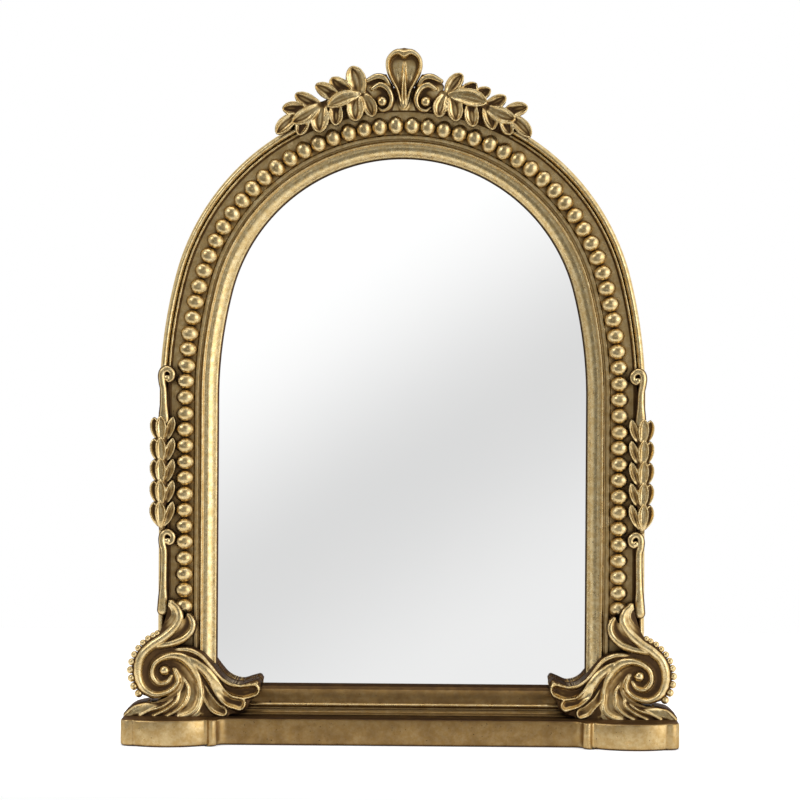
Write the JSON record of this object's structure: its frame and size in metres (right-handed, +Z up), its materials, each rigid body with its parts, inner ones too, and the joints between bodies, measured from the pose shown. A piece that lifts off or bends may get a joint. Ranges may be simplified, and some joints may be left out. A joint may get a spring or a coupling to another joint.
{
  "type": "table mirror",
  "caption": "Arched table mirror in an antique gold frame with a pearl course, leaf crest, corner scrolls and acanthus feet on a bow-fronted plinth, glazed from the back.",
  "frame": {"origin": "on the table, at the underside of the felt, below the middle of the frame and between its front and rear faces", "axes": "+X to the right as seen by someone looking into the mirror, +Y from the mirror's front to its back, +Z up"},
  "size_m": [0.2606, 0.0567, 0.3276],
  "materials": {
    "antique_gold": "cast resin with rubbed antique gold paint and dark patina in the hollows",
    "mirror": "silvered float glass",
    "card": "grey-brown card",
    "board": "dark-faced fibreboard",
    "felt": "pressed felt",
    "steel": "plated sheet steel"
  },
  "bodies": {
    "mirror": {"plinth": "antique_gold", "frame_arch": "antique_gold", "frame_bottom_rail": "antique_gold", "sight_moulding": "antique_gold", "sight_moulding_bottom": "antique_gold", "bead_course": "antique_gold", "crest_backing": "antique_gold", "crest_palmette": "antique_gold", "crest_scroll_left": "antique_gold", "crest_scroll_right": "antique_gold", "crest_spray_left": "antique_gold", "crest_spray_right": "antique_gold", "corner_scroll_left": "antique_gold", "corner_scroll_right": "antique_gold", "acanthus_foot_left": "antique_gold", "acanthus_foot_right": "antique_gold", "scroll_pearls_left": "antique_gold", "scroll_pearls_right": "antique_gold", "side_tendril_upper_left": "antique_gold", "side_tendril_upper_right": "antique_gold", "side_tendril_lower_left": "antique_gold", "side_tendril_lower_right": "antique_gold", "laurel_drop_left": "antique_gold", "laurel_drop_right": "antique_gold", "base_felt": "felt", "mirror_glass": "mirror", "backing_pad": "card", "back_board": "board", "turn_button_screws": "steel", "frame_screws": "steel"},
    "turn_button_1": {"turn_button_1": "steel"},
    "turn_button_2": {"turn_button_2": "steel"},
    "turn_button_3": {"turn_button_3": "steel"},
    "turn_button_4": {"turn_button_4": "steel"},
    "turn_button_5": {"turn_button_5": "steel"},
    "turn_button_6": {"turn_button_6": "steel"}
  },
  "joints": [
    {"name": "turn_button_1_swivel", "type": "hinge", "parent": "mirror", "child": "turn_button_1", "pos_m": [-0.06492, 0.0126, 0.26957], "axis": [0, 1, 0], "range_deg": [-90, 90]},
    {"name": "turn_button_2_swivel", "type": "hinge", "parent": "mirror", "child": "turn_button_2", "pos_m": [0.06492, 0.0126, 0.26957], "axis": [0, 1, 0], "range_deg": [-90, 90]},
    {"name": "turn_button_3_swivel", "type": "hinge", "parent": "mirror", "child": "turn_button_3", "pos_m": [0.1048, 0.0126, 0.07], "axis": [0, 1, 0], "range_deg": [-90, 90]},
    {"name": "turn_button_4_swivel", "type": "hinge", "parent": "mirror", "child": "turn_button_4", "pos_m": [-0.1048, 0.0126, 0.07], "axis": [0, 1, 0], "range_deg": [-90, 90]},
    {"name": "turn_button_5_swivel", "type": "hinge", "parent": "mirror", "child": "turn_button_5", "pos_m": [0.1048, 0.0126, 0.14], "axis": [0, 1, 0], "range_deg": [-90, 90]},
    {"name": "turn_button_6_swivel", "type": "hinge", "parent": "mirror", "child": "turn_button_6", "pos_m": [-0.1048, 0.0126, 0.14], "axis": [0, 1, 0], "range_deg": [-90, 90]}
  ]
}
